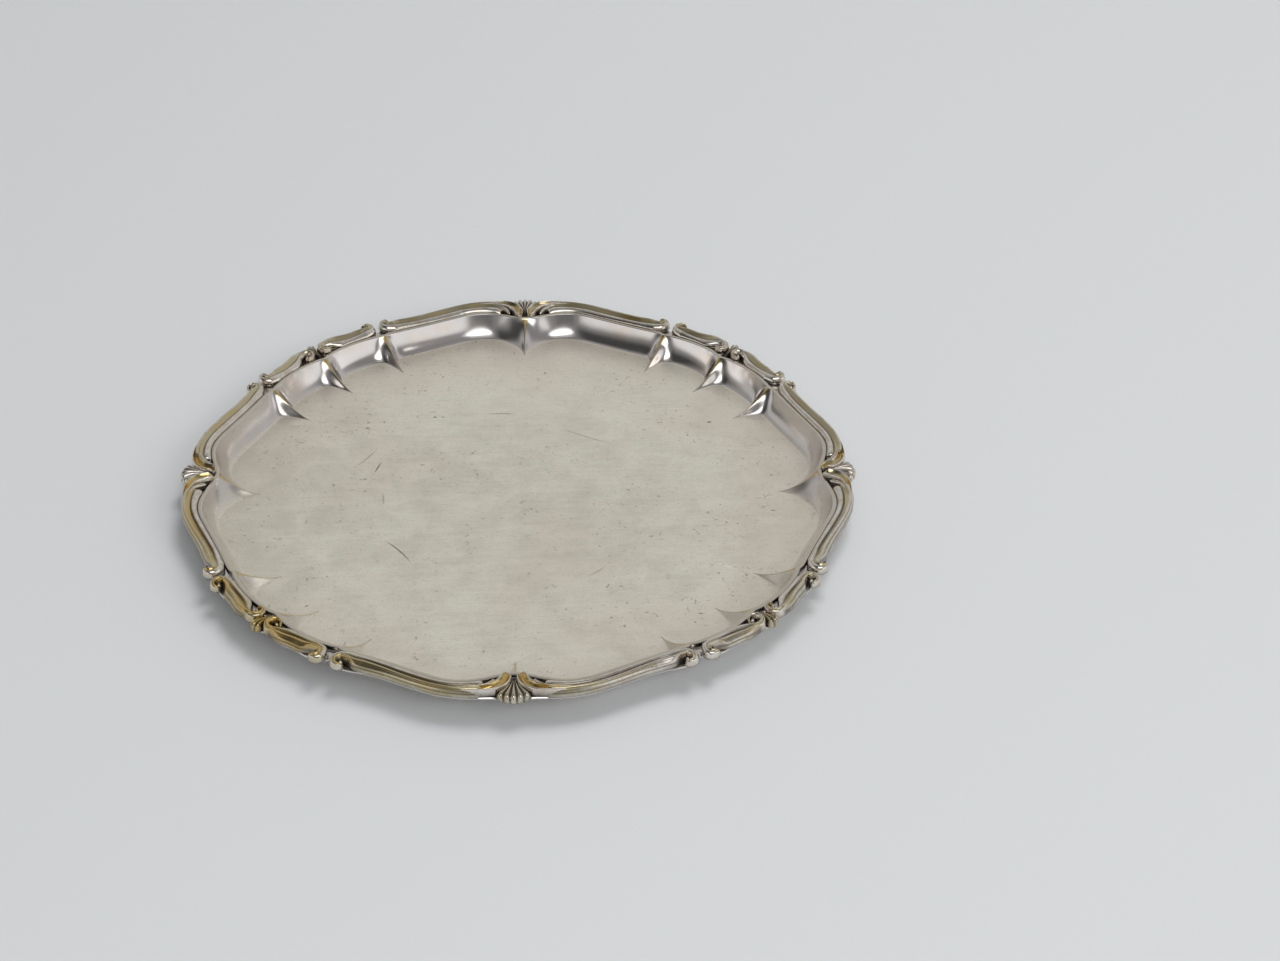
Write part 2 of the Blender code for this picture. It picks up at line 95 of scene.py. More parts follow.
# The same for a curl: a broad round flank, a bead along the crest, and a steep wall down to the eye
CURL_SECTION_SHARES = (
    (-1.0, 0.0, 0.0, 0.8), (-1.0, 0.16, 0.1, 0.5), (-0.975, 0.36, 0.3, 0.1), (-0.91, 0.52, 0.4, 0.0),
    (-0.82, 0.66, 0.3, 0.0), (-0.71, 0.77, 0.2, 0.0), (-0.59, 0.83, 0.3, 0.0), (-0.48, 0.86, 0.4, 0.0),
    (-0.39, 0.855, 0.5, 0.1), (-0.32, 0.83, 0.8, 0.6), (-0.27, 0.85, 1.0, 0.3), (-0.21, 0.9, 1.0, 0.0),
    (-0.14, 0.96, 1.0, 0.0), (-0.07, 0.99, 0.9, 0.0), (0.0, 1.0, 0.8, 0.0), (0.12, 0.99, 0.8, 0.0),
    (0.26, 0.96, 0.9, 0.0), (0.4, 0.9, 0.9, 0.0), (0.52, 0.82, 0.8, 0.1), (0.63, 0.72, 0.7, 0.2),
    (0.73, 0.6, 0.5, 0.4), (0.82, 0.48, 0.3, 0.7), (0.89, 0.36, 0.1, 0.9), (0.94, 0.26, 0.0, 1.0),
    (0.975, 0.16, 0.0, 1.0), (1.0, 0.08, 0.0, 1.0), (1.0, 0.0, 0.0, 1.0),
)

# Section of a cupped petal, from one side to the other
PETAL_SECTION_SHARES = (
    (-1.0, 0.0, 0.0, 1.0), (-1.0, 0.3, 0.0, 0.8), (-0.96, 0.6, 0.0, 0.3), (-0.88, 0.85, 0.0, 0.0),
    (-0.78, 0.98, 0.2, 0.0), (-0.68, 1.0, 0.4, 0.0), (-0.58, 0.92, 0.9, 0.0), (-0.44, 0.76, 1.4, 0.0),
    (-0.22, 0.62, 1.4, 0.1), (0.0, 0.57, 1.4, 0.1), (0.22, 0.61, 1.4, 0.1), (0.44, 0.75, 1.4, 0.0),
    (0.58, 0.9, 0.9, 0.0), (0.68, 0.98, 0.3, 0.0), (0.78, 0.96, 0.1, 0.0), (0.88, 0.83, 0.0, 0.0),
    (0.96, 0.58, 0.0, 0.3), (1.0, 0.3, 0.0, 0.8), (1.0, 0.0, 0.0, 1.0),
)

# Section of a plain leaf
LEAF_SECTION_SHARES = (
    (-1.0, 0.0, 0.0, 1.0), (-0.95, 0.45, 0.0, 0.7), (-0.75, 0.78, 0.1, 0.1), (-0.4, 0.95, 0.5, 0.0),
    (0.0, 1.0, 0.7, 0.0), (0.4, 0.95, 0.5, 0.0), (0.75, 0.78, 0.1, 0.1), (0.95, 0.45, 0.0, 0.7),
    (1.0, 0.0, 0.0, 1.0),
)

# Stations of the long scroll's body: fillet side, crest and outer side, each as a place between shell and
# break and a place between fillet and outline, then the crest's height and how far it is a curl's section
LONG_BODY_SHARES = (
    (0.16, 0.14, 0.153, 0.36, 0.15, 0.55, 0.4, 1.0),
    (0.168, 0.02, 0.16, 0.55, 0.152, 0.75, 0.72, 0.7),
    (0.19, 0.0, 0.178, 0.72, 0.165, 0.94, 0.95, 0.3),
    (0.225, 0.0, 0.22, 0.77, 0.215, 1.0, 1.0, 0.05),
    (0.3, 0.0, 0.3, 0.77, 0.3, 1.0, 1.0, 0.0),
    (0.4, 0.0, 0.4, 0.76, 0.4, 1.0, 0.98, 0.0),
    (0.5, 0.0, 0.5, 0.76, 0.5, 1.0, 0.95, 0.0),
    (0.6, 0.0, 0.6, 0.73, 0.6, 1.0, 0.96, 0.0),
    (0.7, 0.0, 0.7, 0.67, 0.7, 1.0, 0.99, 0.0),
    (0.79, 0.0, 0.788, 0.62, 0.785, 1.0, 1.02, 0.1),
    (0.85, 0.0, 0.845, 0.61, 0.838, 0.91, 1.04, 0.3),
    (0.885, 0.0, 0.878, 0.57, 0.87, 0.76, 1.05, 0.55),
    (0.906, 0.0, 0.899, 0.53, 0.892, 0.66, 1.06, 0.75),
)
LONG_EYE_SHARES = (0.92, 0.8)

# Stations of a petal and of a leaf: place between shell and break, place between fillet and outline, half
# width as a share of the petal's, and height as a share of the relief
PETAL_SHARES = (
    (0.027, 0.03, 0.46, 0.62),
    (0.034, 0.07, 0.7, 0.86),
    (0.041, 0.14, 0.88, 0.95),
    (0.047, 0.26, 0.98, 0.93),
    (0.0585, 0.4, 1.0, 0.95),
    (0.08, 0.56, 0.95, 0.98),
    (0.106, 0.685, 0.82, 1.02),
    (0.155, 0.755, 0.66, 1.03),
    (0.22, 0.755, 0.46, 0.99),
    (0.3, 0.72, 0.26, 0.9),
)
LEAF_SHARES = (
    (0.102, 0.1, 0.18, 0.4),
    (0.108, 0.18, 0.3, 0.62),
    (0.118, 0.3, 0.36, 0.72),
    (0.138, 0.44, 0.33, 0.8),
    (0.174, 0.55, 0.25, 0.84),
    (0.23, 0.575, 0.15, 0.74),
)

# Stations of the short scroll's body between its two curls, and the eyes that they turn about
SHORT_BODY_SHARES = (
    (0.215, 0.0, 0.232, 0.54, 0.243, 0.68, 1.06, 0.75),
    (0.26, 0.0, 0.275, 0.57, 0.285, 0.8, 1.04, 0.5),
    (0.32, 0.0, 0.33, 0.59, 0.34, 0.94, 1.01, 0.2),
    (0.39, 0.0, 0.395, 0.61, 0.4, 1.0, 0.99, 0.05),
    (0.48, 0.0, 0.485, 0.65, 0.49, 1.0, 0.98, 0.0),
    (0.58, 0.0, 0.585, 0.72, 0.588, 1.0, 1.0, 0.1),
    (0.63, 0.03, 0.638, 0.755, 0.643, 1.0, 1.01, 0.25),
    (0.69, 0.16, 0.7, 0.79, 0.706, 1.0, 1.03, 0.5),
    (0.75, 0.37, 0.762, 0.82, 0.77, 1.0, 1.04, 0.85),
)
SHORT_EYES_SHARES = ((0.169, 0.83), (0.823, 0.35))

# Stations of a curl: share of a full turn, then outside, crest and inside as shares of the curl's radius,
# and the crest's height
BREAK_CURL_SHARES = (
    (0.06, 1.17, 0.47, 0.27, 1.06),
    (0.16, 1.03, 0.45, 0.25, 1.07),
    (0.25, 0.95, 0.43, 0.24, 1.06),
    (0.34, 0.81, 0.4, 0.22, 1.0),
    (0.44, 0.62, 0.36, 0.19, 0.92),
    (0.55, 0.49, 0.31, 0.16, 0.8),
    (0.66, 0.38, 0.26, 0.12, 0.62),
    (0.74, 0.3, 0.2, 0.09, 0.4),
)
BUD_CURL_SHARES = (
    (0.03, 1.08, 0.72, 0.34, 1.04),
    (0.12, 1.02, 0.7, 0.34, 1.06),
    (0.22, 0.93, 0.63, 0.31, 1.05),
    (0.32, 0.77, 0.53, 0.27, 1.0),
    (0.43, 0.59, 0.41, 0.22, 0.92),
    (0.55, 0.46, 0.31, 0.17, 0.8),
    (0.66, 0.36, 0.25, 0.14, 0.58),
    (0.74, 0.29, 0.19, 0.09, 0.4),
)

# Stations of a fan: place along it, half width, rise, depth of the grooves, and height of its underside
FAN_SHARES = (
    (0.0, 0.12, 0.25, 0.2, 0.0),
    (0.1, 0.15, 0.45, 0.4, 0.0),
    (0.22, 0.2, 0.64, 0.6, 0.0),
    (0.36, 0.3, 0.79, 0.8, 0.0),
    (0.5, 0.44, 0.89, 1.0, 0.0),
    (0.64, 0.62, 0.96, 1.1, 0.0),
    (0.77, 0.82, 0.98, 1.2, 0.0),
    (0.87, 0.94, 0.92, 1.2, 0.0),
    (0.94, 0.99, 0.76, 1.1, -0.02),
    (0.985, 1.0, 0.5, 1.0, -0.08),
    (1.0, 0.99, 0.2, 0.8, -0.12),
    (0.985, 0.97, -0.02, 0.4, -0.14),
)


def in_mm(name, description, amount):
    return bpy.props.FloatProperty(name=name, description=description, default=amount * MM, unit="LENGTH")


def in_degrees(name, description, amount):
    default = math.radians(amount)
    return bpy.props.FloatProperty(name=name, description=description, default=default, unit="ROTATION")


def in_rgb(name, description, *default):
    return bpy.props.FloatVectorProperty(name=name, description=description, default=default, subtype="COLOR")


class TraySizes(bpy.types.PropertyGroup):
    """Sizes of the pressed sheet and of the border mounts"""

    sheet_thickness: in_mm("Sheet thickness", "Thickness of the pressed sheet", 1.2)
    rim_radius: in_mm("Rim radius", "Mean radius of the rim line", 138.5)
    rim_swing: in_mm("Rim swing", "How far the lobed rim line swings", 3.4)
    rim_height: in_mm("Rim height", "Height of the wall's top", 12.1)
    booge_reach: in_mm("Wall reach", "How far the sloping wall reaches in", 6.3)
    crimp_tip_radius: in_mm("Crimp tip radius", "Radius of the crimps' tips", 117.6)
    shell_crimp_half_width: in_mm("Shell crimp half width", "Half width of a crimp at a shell", 15)
    small_crimp_half_width: in_mm("Small crimp half width", "Half width of a crimp elsewhere", 6.5)
    crimp_ridge_half_width: in_mm("Crimp ridge half width", "Half width of the steep ridge", 2.8)
    crimp_flat: in_mm("Crimp flat", "Half width of a crimp's flat top", 0.22)
    well_radius: in_mm("Well radius", "Radius of the plain flat well", 113)
    fillet_width: in_mm("Fillet width", "Width of the raised line on the rim", 1.9)
    fillet_rise: in_mm("Fillet rise", "Rise of the line over the rim", 0.42)
    fillet_drop: in_mm("Fillet drop", "Drop from the rim to the flange", 1.55)
    flange_reach: in_mm("Flange reach", "Reach of the flange past the rim", 12.4)
    edge_round: in_mm("Edge round", "Rounding of the flange's edge", 0.35)
    seat_gap: in_mm("Seat gap", "Gap between the fillet and the mounts", 0.04)
    overhang: in_mm("Overhang", "Overhang of the mounts past the flange", 0.8)
    relief: in_mm("Relief", "Height of the scrolls' crest", 4.67)
    curl_radius: in_mm("Curl radius", "Outer radius of a curl", 5.5)
    bead_radius: in_mm("Bead radius", "Radius of the bead in a curl", 1.05)
    petal_half_width: in_mm("Petal half width", "Half width of a petal", 2.9)
    shell_overhang: in_mm("Shell overhang", "Overhang of a shell past the flange", 1.5)
    shell_half_width: in_mm("Shell half width", "Half width of a shell", 6.9)
    shell_rise: in_mm("Shell rise", "Height of a shell", 4.4)
    bud_overhang: in_mm("Bud overhang", "Overhang of a bud past the flange", 1.7)
    bud_half_width: in_mm("Bud half width", "Half width of a bud", 2.8)
    bud_rise: in_mm("Bud rise", "Height of a bud", 4.1)
    fan_start: in_mm("Fan start", "Distance of a fan's foot from the fillet", 1.1)
    rib_depth: in_mm("Rib depth", "Depth of the grooves between ribs", 1.3)


class TrayColours(bpy.types.PropertyGroup):
    """Colours of the worn plate and of the floor"""

    silver: in_rgb("Silver", "Plate that is clean", 0.8, 0.77, 0.7)
    warm_silver: in_rgb("Warm silver", "Plate with a pinkish tarnish", 0.7, 0.61, 0.52)
    violet_silver: in_rgb("Violet silver", "Polished plate on the wall", 0.69, 0.66, 0.645)
    green_silver: in_rgb("Green silver", "Dull plate in the well", 0.82, 0.8, 0.68)
    rosy_silver: in_rgb("Rosy silver", "Dull plate near the wall", 0.79, 0.72, 0.63)
    olive: in_rgb("Olive", "Thin plate that lets the brass through", 0.6, 0.53, 0.35)
    brass: in_rgb("Brass", "Base metal where the plate is worn", 0.64, 0.46, 0.18)
    dull_silver: in_rgb("Dull silver", "Wiped film in the well", 0.59, 0.56, 0.465)
    stain: in_rgb("Stain", "Brown specks and smudges", 0.3, 0.24, 0.19)
    bright_scratch: in_rgb("Bright scratch", "Fresh scratch in the well", 0.95, 0.94, 0.9)
    # This dark colour also paints shade on the mounts' lower outer flanks
    dirt: in_rgb("Dirt", "Dark deposit in the recesses", 0.06, 0.05, 0.045)
    floor: in_rgb("Floor", "Floor under the tray", 0.655, 0.67, 0.68)


def smooth_through(points, place):
    """Value at a place of the smooth curve through given points, flat at its two ends."""
    for start, (here, there) in enumerate(zip(points, points[1:])):
        if place > there[0] and there is not points[-1]:
            continue
        span = there[0] - here[0]
        share = min(max((place - here[0]) / span, 0.0), 1.0)
        before = slope_at(points, start) * span
        after = slope_at(points, start + 1) * span
        cube = 2 * share**3 - 3 * share**2 + 1
        return (
            here[1] * cube
            + there[1] * (1 - cube)
            + before * (share**3 - 2 * share**2 + share)
            + after * (share**3 - share**2)
        )
    return points[-1][1]


def slope_at(points, index):
    if index in (0, len(points) - 1):
        return 0.0
    before, after = points[index - 1], points[index + 1]
    return (after[1] - before[1]) / (after[0] - before[0])


def stations_between(rows, steps):
    """Rows of a table with smooth steps between them, each value on its own curve."""
    fine = []
    last = len(rows) - 1
    for index in range(last):
        a, b, c, d = (rows[min(max(index + k, 0), last)] for k in (-1, 0, 1, 2))
        for step in range(steps):
            t = step / steps
            fine.append(
                tuple(
                    q + 0.5 * t * (r - p + t * (2 * p - 5 * q + 4 * r - s + t * (3 * (q - r) + s - p)))
                    for p, q, r, s in zip(a, b, c, d)
                )
            )
    fine.append(tuple(rows[-1]))
    return fine


def folded(angle):
    """The angle from the nearest shell, between 0 and an eighth of a turn."""
    return abs((angle + EIGHTH_TURN) % QUARTER_TURN - EIGHTH_TURN)


def along_eighth(angle, long_points, short_points):
    """Share that a pair of curves has at an angle, the first up to the break and the second up to the bud."""
    place = folded(angle)
    if place <= BREAK_ANGLE:
        return smooth_through(long_points, place / BREAK_ANGLE)
    return smooth_through(short_points, (place - BREAK_ANGLE) / (EIGHTH_TURN - BREAK_ANGLE))


def rim_line(sizes, angle):
    return sizes.rim_radius + sizes.rim_swing * along_eighth(angle, RIM_LONG_SHARES, RIM_SHORT_SHARES)


def flange_outline(sizes, angle):
    share = along_eighth(angle, OUTLINE_LONG_SHARES, OUTLINE_SHORT_SHARES)
    return sizes.rim_radius + sizes.flange_reach * share


def flange_top(sizes):
    return sizes.rim_height - sizes.fillet_drop


def crimps(sizes):
    """Angle from the shell, and half width, of each kind of crimp."""
    return (
        (0.0, sizes.shell_crimp_half_width),
        (BREAK_ANGLE, sizes.small_crimp_half_width),
        (EIGHTH_TURN, sizes.small_crimp_half_width),
    )


def from_crimp(sizes, angle):
    """Distance along the crimp tips' circle to the nearest crimp's centre line."""
    place = folded(angle)
    return min(abs(place - centre) for centre, _ in crimps(sizes)) * sizes.crimp_tip_radius


# A crimp is a wide skirt, which takes this share of its draw, with a steep ridge on it
CRIMP_SKIRT_SHARE = 0.7
SKIRT_POWER = 2.6
RIDGE_POWER = 1.6


def crimp_pinch(sizes, angle):
    """How far the wall is drawn in at an angle: 1 on a crimp's flat top, and 0 in the lobes between."""
    place = folded(angle)
    pinch = 0.0
    for centre, half_width in crimps(sizes):
        away = max(abs(place - centre) * sizes.crimp_tip_radius - sizes.crimp_flat, 0.0)
        skirt = max(1.0 - away / (half_width - sizes.crimp_flat), 0.0) ** SKIRT_POWER
        ridge = max(1.0 - away / (sizes.crimp_ridge_half_width - sizes.crimp_flat), 0.0) ** RIDGE_POWER
        pinch = max(pinch, CRIMP_SKIRT_SHARE * skirt + (1 - CRIMP_SKIRT_SHARE) * ridge)
    return pinch


def booge_reach(sizes, angle):
    longest = rim_line(sizes, angle) - sizes.crimp_tip_radius
    return sizes.booge_reach + (longest - sizes.booge_reach) * crimp_pinch(sizes, angle)


# The wall is a cove that follows this power of the distance from its foot. Its lower face follows this share
# of it from the foot up, and the dull finish of the well ends this far inside the foot
COVE_POWER = 1.65
UNDER_SHARE = 0.84
FINISH_EDGE = 0.4 * MM
WALL_ROWS = 30
UNDER_ROWS = 12
FILLET_ROWS = 10


def booge_height(sizes, share):
    """Height of the wall at a share of its reach: steep at the rim and level at the well."""
    return sizes.sheet_thickness + (sizes.rim_height - sizes.sheet_thickness) * (1 - share) ** COVE_POWER


def booge_under(sizes, share):
    """Point of the wall's lower face, one sheet thickness square to the upper face."""
    average = (sizes.rim_height - sizes.sheet_thickness) / sizes.booge_reach
    steepness = COVE_POWER * average * (1 - share) ** (COVE_POWER - 1)
    length = math.hypot(1.0, steepness)
    radius = sizes.rim_radius - sizes.booge_reach * share + sizes.sheet_thickness * steepness / length
    return radius, max(booge_height(sizes, share) - sizes.sheet_thickness / length, 0.0)


def sheet_profile(sizes):
    """Section of the plain turned dish, from the centre out along the top and back along the underside."""
    rim = sizes.rim_radius
    foot = rim + sizes.fillet_width
    edge = rim + sizes.flange_reach
    dull_edge = rim - sizes.booge_reach - FINISH_EDGE
    top = [(radius, sizes.sheet_thickness) for radius in (0.0, sizes.well_radius, dull_edge)]
    for row in range(WALL_ROWS + 1):
        share = 1 - row / WALL_ROWS
        top.append((rim - sizes.booge_reach * share, booge_height(sizes, share)))
    half = sizes.fillet_width / 2
    for row in range(1, FILLET_ROWS):
        turn = math.pi * row / FILLET_ROWS
        lift = sizes.fillet_rise * math.sin(turn)
        top.append((rim + half - half * math.cos(turn), sizes.rim_height + lift))
    level = flange_top(sizes)
    round_over = sizes.edge_round
    top += [(foot, sizes.rim_height - round_over), (foot, level + round_over)]
    top += [(foot + round_over, level), (foot + 3 * round_over, level)]
    top += [(edge - 2 * round_over, level), (edge - round_over, level), (edge, level - round_over)]
    under_level = level - sizes.sheet_thickness
    under = [booge_under(sizes, 1 - row / UNDER_ROWS * UNDER_SHARE) for row in range(UNDER_ROWS + 1)]
    under += [(rim + half, under_level), (edge - round_over, under_level), (edge, under_level + round_over)]
    return top + under[::-1] + [(sizes.well_radius, 0.0), (0.0, 0.0)]


def pressed_radius(sizes, angle, radius):
    """Where the press takes a point of the plain turned dish."""
    well_edge = sizes.rim_radius - sizes.booge_reach
    rim = rim_line(sizes, angle)
    fillet_foot = sizes.rim_radius + sizes.fillet_width
    reach = booge_reach(sizes, angle)
    if radius <= sizes.well_radius:
        return radius
    if radius <= well_edge:
        share = (radius - sizes.well_radius) / (well_edge - sizes.well_radius)
        return sizes.well_radius + share * (rim - reach - sizes.well_radius)
    if radius <= sizes.rim_radius:
        return rim - (sizes.rim_radius - radius) / sizes.booge_reach * reach
    if radius <= fillet_foot:
        return rim + radius - sizes.rim_radius
    share = (radius - fillet_foot) / (sizes.rim_radius + sizes.flange_reach - fillet_foot)
    return rim + sizes.fillet_width + share * (flange_outline(sizes, angle) - rim - sizes.fillet_width)


def short_angle(share):
    """Angle of a place between the break and the bud."""
    return BREAK_ANGLE + share * (EIGHTH_TURN - BREAK_ANGLE)


LONG_COLUMNS = 48
SHORT_COLUMNS = 26
CROWDING_SHARE = 0.86


def crowded(share):
    """Share of a span, with steps that crowd together at both ends."""
    return share - CROWDING_SHARE * math.sin(2 * math.pi * share) / (2 * math.pi)


def column_angles():
    """Angles of the sheet's columns over an eighth of a turn, closest together at the crimps."""
    long_part = [BREAK_ANGLE * crowded(step / LONG_COLUMNS) for step in range(LONG_COLUMNS)]
    return long_part + [short_angle(crowded(step / SHORT_COLUMNS)) for step in range(SHORT_COLUMNS + 1)]


def spread_angle(step, angles):
    """Angle of the column that the even spin made at this step."""
    per_eighth = len(angles) - 1
    quarter, place = divmod(step, 2 * per_eighth)
    centre = quarter * QUARTER_TURN
    if place <= per_eighth:
        return centre + angles[place]
    return centre + QUARTER_TURN - angles[2 * per_eighth - place]


# The worn line along a crimp: its half width, how much wider it is at the fillet, and the share of the wall
# over which it narrows
WORN_LINE = 0.3 * MM
WORN_FLARE = 1.4 * MM
FLARE_SHARE = 0.45

# The polish fades into the well over this share of the wall at the back, and over this much more in front
BACK_FADE_SHARE = 0.08
FRONT_FADE_SHARE = 1.2
FRONT_START_SHARE = 0.6

FILLET_WEAR_SHARE = 0.45
SLOT_DIRT_SHARE = 0.3
FLANGE_DIRT_SHARE = 0.1
FLANGE_POLISH_SHARE = 0.9


def sheet_marks(sizes, angle, radius, height):
    """Wear, dirt and polish of a point of the plain dish, at the angle that the press gives it."""
    inwards = (sizes.rim_radius - radius) / sizes.booge_reach
    outwards = (radius - sizes.rim_radius) / sizes.fillet_width
    if inwards > 1.001:
        return 0.0, 0.0, 0.0
    if inwards >= 0.0:
        spread = WORN_LINE + WORN_FLARE * max(0.0, 1.0 - inwards / FLARE_SHARE) ** 2
        near = math.exp(-((from_crimp(sizes, angle) / spread) ** 2))
        in_front = min(max(FRONT_START_SHARE - math.sin(angle), 0.0), 1.0)
        polish = (1.0 - inwards) / (BACK_FADE_SHARE + FRONT_FADE_SHARE * in_front)
        tip_dirt = 0.6 * near * max(0.0, inwards - 0.5)
        return near * (1 - 0.3 * inwards), tip_dirt, min(max(polish, 0.0), 1.0)
    if height > sizes.rim_height - sizes.edge_round / 2:
        return FILLET_WEAR_SHARE * math.sin(math.pi * outwards), max(0.0, outwards - 0.85) * 2, 1.0
    return 0.0, SLOT_DIRT_SHARE if outwards < 1.3 else FLANGE_DIRT_SHARE, FLANGE_POLISH_SHARE


def add_layers(bm):
    """Layers of the marks that the materials read."""
    return [bm.verts.layers.float.new(name) for name in ("wear", "dirt", "polish")]


def tray_sheet(sizes):
    """The sheet, turned as a plain dish and then pressed into lobes and crimps."""
    angles = column_angles()
    steps = 2 * (len(angles) - 1) * QUARTERS
    bm = bmesh.new()
    layers = add_layers(bm)
    points = [bm.verts.new((radius, 0.0, height)) for radius, height in sheet_profile(sizes)]
    edges = [bm.edges.new(pair) for pair in zip(points, points[1:])]
    whole = {"angle": 2 * math.pi, "steps": steps, "use_merge": True}
    bmesh.ops.spin(bm, geom=points + edges, cent=(0, 0, 0), axis=(0, 0, 1), **whole)
    bmesh.ops.remove_doubles(bm, verts=bm.verts, dist=sizes.sheet_thickness / 100)
    pressed = {}
    for vert in bm.verts:
        radius = math.hypot(vert.co.x, vert.co.y)
        step = round(math.atan2(vert.co.y, vert.co.x) / (2 * math.pi) * steps) % steps
        angle = spread_angle(step, angles)
        key = (step % (steps // QUARTERS), round(radius / sizes.sheet_thickness, 3))
        if key not in pressed:
            pressed[key] = pressed_radius(sizes, angle, radius)
        for layer, mark in zip(layers, sheet_marks(sizes, angle, radius, vert.co.z)):
            vert[layer] = mark
        vert.co.x = pressed[key] * math.cos(angle)
        vert.co.y = pressed[key] * math.sin(angle)
    bmesh.ops.recalc_face_normals(bm, faces=bm.faces)
    return bm


def seat_point(sizes, angle, share):
    """Point on the flange, between the fillet (share 0) and the outline with its overhang (share 1)."""
    inner = rim_line(sizes, angle) + sizes.fillet_width + sizes.seat_gap
    outer = flange_outline(sizes, angle) + sizes.overhang
    radius = inner + share * (outer - inner)
    return Vector((radius * math.cos(angle), radius * math.sin(angle), flange_top(sizes)))


# Steps that a loft takes between two stations of its table
SCROLL_STEPS = 6
RIBBON_STEPS = 5
FAN_STEPS = 4


def mixed(body, curl, share):
    """Section between a body's and a curl's."""
    return [tuple(b + share * (c - b) for b, c in zip(*pair)) for pair in zip(body, curl)]


def moulding_section(sizes, sides, height, curl):
    """Closed section of a scroll: up its fillet side, over its crest, and down its outer side."""
    inner, crest, outer = sides
    rise = Vector((0, 0, sizes.relief * height))
    section = []
    for side, up, wear, dirt in mixed(BODY_SECTION_SHARES, CURL_SECTION_SHARES, curl):
        foot = crest.lerp(inner, -side) if side < 0 else crest.lerp(outer, side)
        section.append((foot + rise * up, wear, dirt))
    return section


def body_sections(sizes, stations, first_angle, last_angle):
    """Sections along the rim, between the angles at places 0 and 1."""
    sections = []
    for *places, height, curl in stations_between(stations, SCROLL_STEPS):
        sides = [
            seat_point(sizes, first_angle + along * (last_angle - first_angle), across)
            for along, across in zip(places[::2], places[1::2])
        ]
        sections.append(moulding_section(sizes, sides, height, min(max(curl, 0.0), 1.0)))
    return sections


def curl_sections(sizes, stations, eye, onward, outward):
    """Sections round an eye, for a curl that sets off forwards (onward 1) and turns outwards (outward 1)."""
    centre = seat_point(sizes, *eye)
    radial = Vector((math.cos(eye[0]), math.sin(eye[0]), 0.0))
    tangent = Vector((-math.sin(eye[0]), math.cos(eye[0]), 0.0))
    sections = []
    for turn, *reaches, height in stations_between(stations, SCROLL_STEPS):
        spin = turn * 2 * math.pi
        away = onward * math.sin(spin) * tangent - outward * math.cos(spin) * radial
        sides = [centre + sizes.curl_radius * reach * away for reach in reaches]
        section = moulding_section(sizes, sides, height, 1.0)
        sections.append(section if outward > 0 else section[::-1])
    return sections


def ribbon_sections(sizes, stations, profile):
    """Sections of a petal or leaf, square to a middle line that is laid out over the flange."""
    rows = stations_between(stations, RIBBON_STEPS)
    middle = [seat_point(sizes, row[0] * BREAK_ANGLE, row[1]) for row in rows]
    sections = []
    for index, row in enumerate(rows):
        ahead = middle[min(index + 1, len(rows) - 1)]
        behind = middle[max(index - 1, 0)]
        along = (ahead - behind).normalized()
        across = Vector((along.y, -along.x, 0.0)) * sizes.petal_half_width * row[2]
        rise = Vector((0, 0, sizes.relief * row[3]))
        sections.append(
            [(middle[index] + across * side + rise * up, wear, dirt) for side, up, wear, dirt in profile]
        )
    return sections


def loft(bm, sections):
    """Adds a closed solid through sections that all have the same number of points."""
    wear_layer, dirt_layer, _ = bm.verts.layers.float.values() or add_layers(bm)
    rings = []
    for section in sections:
        verts = []
        for point, wear, dirt in section:
            vert = bm.verts.new(point)
            vert[wear_layer] = max(wear, 0.0)
            vert[dirt_layer] = min(max(dirt, 0.0), 1.0)
            verts.append(vert)
        rings.append([bm.edges.new(pair) for pair in zip(verts, verts[1:] + verts[:1])])
    for here, there in zip(rings, rings[1:]):
        bmesh.ops.bridge_loops(bm, edges=here + there)
    for ring in (rings[0], rings[-1]):
        bmesh.ops.edgeloop_fill(bm, edges=ring)


BEAD_STRETCH = 1.6
BEAD_WEAR_SHARE = 0.2


def bead(bm, sizes, eye):
    """Adds a small tall ball that stands in the eye of a curl."""
    radius = sizes.bead_radius
    centre = seat_point(sizes, *eye)
    spot = Matrix.Translation(centre + Vector((0, 0, radius)))
    made = bmesh.ops.create_uvsphere(bm, u_segments=16, v_segments=10, radius=radius, matrix=spot)
    wear, dirt, _ = bm.verts.layers.float.values()
    for vert in made["verts"]:
        vert.co.z = centre.z + (vert.co.z - centre.z) * BEAD_STRETCH
        low = 1.0 - (vert.co.z - centre.z) / (2 * radius * BEAD_STRETCH)
        vert[wear], vert[dirt] = BEAD_WEAR_SHARE, max(0.0, low)


def long_scroll(sizes):
    along, across = LONG_EYE_SHARES
    eye = (along * BREAK_ANGLE, across)
    bm = bmesh.new()
    body = body_sections(sizes, LONG_BODY_SHARES, 0.0, BREAK_ANGLE)
    loft(bm, body + curl_sections(sizes, BREAK_CURL_SHARES, eye, 1, 1))
    loft(bm, ribbon_sections(sizes, PETAL_SHARES, PETAL_SECTION_SHARES))
    loft(bm, ribbon_sections(sizes, LEAF_SHARES, LEAF_SECTION_SHARES))
    bead(bm, sizes, eye)
    return bm


def short_scroll(sizes):
    eyes = [(short_angle(along), across) for along, across in SHORT_EYES_SHARES]
    bm = bmesh.new()
    at_break = curl_sections(sizes, BREAK_CURL_SHARES, eyes[0], -1, 1)
    body = body_sections(sizes, SHORT_BODY_SHARES, BREAK_ANGLE, EIGHTH_TURN)
    at_bud = curl_sections(sizes, BUD_CURL_SHARES, eyes[1], 1, -1)
    loft(bm, at_break[::-1] + body + at_bud)
    for eye in eyes:
        bead(bm, sizes, eye)
    return bm


FAN_LIP_CURVE_SHARE = 0.2
FAN_CROWN_SHARE = 0.22
FAN_SCALLOP_SHARE = 0.045
FAN_FOOT_SHARE = 0.3
GROOVE_DIRT_SHARE = 1.2
RIB_POWER = 0.8
SHELL_RIBS = 5
BUD_RIBS = 3
POINTS_PER_RIB = 10


